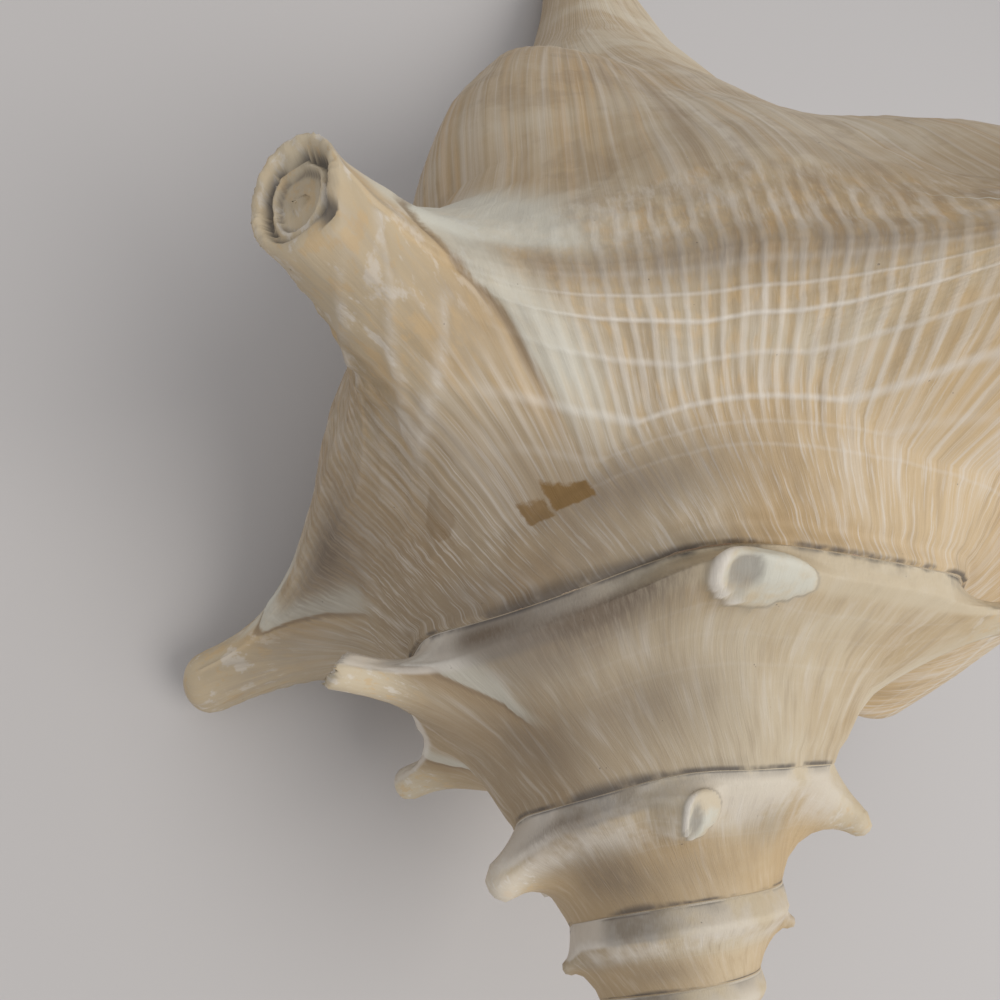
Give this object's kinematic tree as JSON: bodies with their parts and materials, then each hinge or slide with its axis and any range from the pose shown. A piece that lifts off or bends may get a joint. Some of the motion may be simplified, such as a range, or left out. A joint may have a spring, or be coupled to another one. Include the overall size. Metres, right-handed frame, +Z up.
{
  "type": "spined conch shell",
  "caption": "Large spiral sea shell with a spined shoulder, a stepped pointed spire, a flared lip and an open mouth, lying mouth down.",
  "frame": {"origin": "bottom centre of the bounding box, on the surface the shell lies on", "axes": "+Z up; +Y from the apex to the canal; +X to the side of the flared lip"},
  "size_m": [0.169, 0.2608, 0.1222],
  "materials": {
    "shell": "weathered shell, satin, with growth lines and spiral cords"
  },
  "bodies": {
    "root": {"shell": "shell"}
  },
  "joints": []
}
